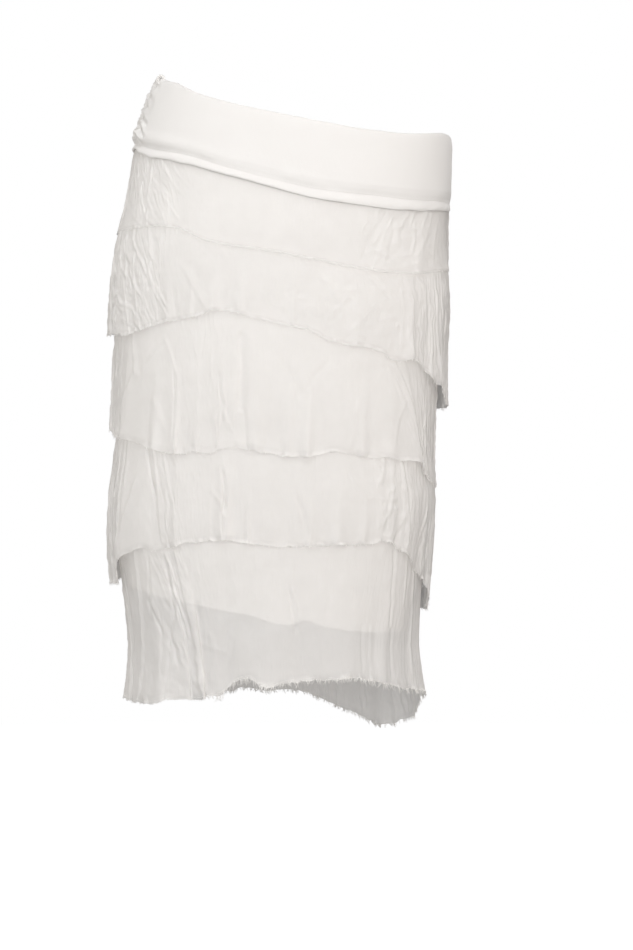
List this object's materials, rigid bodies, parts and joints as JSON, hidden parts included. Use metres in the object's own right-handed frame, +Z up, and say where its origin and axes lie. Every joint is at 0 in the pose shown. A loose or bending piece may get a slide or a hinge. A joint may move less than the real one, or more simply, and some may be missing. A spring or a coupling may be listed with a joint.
{
  "type": "tiered ruffle skirt",
  "caption": "Knee-length white skirt with a slanted fold-over jersey yoke and sheer crinkled tiers with frayed hems, hollow as worn.",
  "frame": {"origin": "middle of the wearer's hips inside the yoke, where the wearer holds the skirt up", "axes": "+Z up along the skirt, the front faces -Y, +X towards the wearer's left"},
  "size_m": [0.3537, 0.2514, 0.6654],
  "materials": {
    "jersey": "matte white cotton jersey, folded double",
    "slip_jersey": "smooth matte white jersey",
    "chiffon": "sheer crinkled silk chiffon with a soft sheen and frayed edges"
  },
  "bodies": {
    "root": {"yoke_front": "jersey", "yoke_back": "jersey", "yoke_roll_front": "jersey", "yoke_roll_back": "jersey", "slip_front": "slip_jersey", "slip_back": "slip_jersey", "tier_1_front": "chiffon", "tier_1_back": "chiffon", "tier_2_front": "chiffon", "tier_2_back": "chiffon", "tier_3_front": "chiffon", "tier_3_back": "chiffon", "tier_4_front": "chiffon", "tier_4_back": "chiffon", "tier_5_front": "chiffon", "tier_5_back": "chiffon"}
  },
  "joints": []
}
